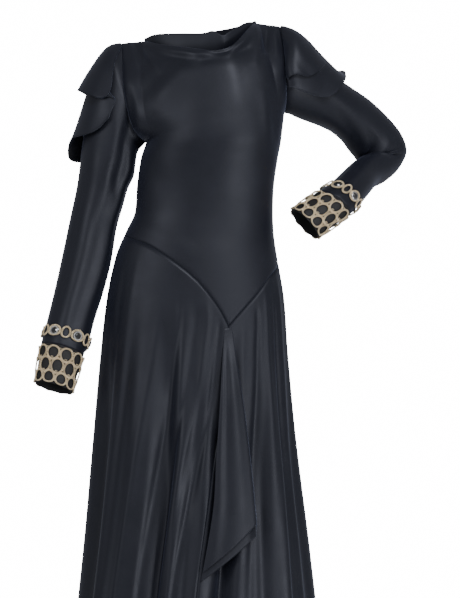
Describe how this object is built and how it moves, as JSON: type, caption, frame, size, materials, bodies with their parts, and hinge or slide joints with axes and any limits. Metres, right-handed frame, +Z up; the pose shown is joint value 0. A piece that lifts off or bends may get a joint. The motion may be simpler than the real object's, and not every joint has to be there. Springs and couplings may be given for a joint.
{
  "type": "evening gown",
  "caption": "Floor-length long-sleeved satin evening gown, hollow, with a draped neckline, a slanting low waist seam, a front cascade, shoulder flounces and gold beaded ring cuffs.",
  "frame": {"origin": "on the wearer's middle plane between the shoulders, at the height where the gown hangs from them", "axes": "+Z up, -Y towards the gown's front, +X towards the wearer's left"},
  "size_m": [0.7511, 0.4922, 1.5009],
  "materials": {
    "satin": "black-navy satin",
    "cuff_band": "matt black tulle",
    "gold": "pale gold beads"
  },
  "bodies": {
    "root": {"bodice_front": "satin", "bodice_back": "satin", "neck_band": "satin", "skirt_front_right": "satin", "skirt_front_left": "satin", "skirt_back": "satin", "cascade": "satin", "sleeve_right": "satin", "sleeve_left": "satin", "flounce_right": "satin", "flounce_left": "satin", "cuff_right": "cuff_band", "cuff_left": "cuff_band", "ring_net_right": "gold", "ring_net_left": "gold", "ring_chain_right": "gold", "ring_chain_left": "gold"}
  },
  "joints": []
}
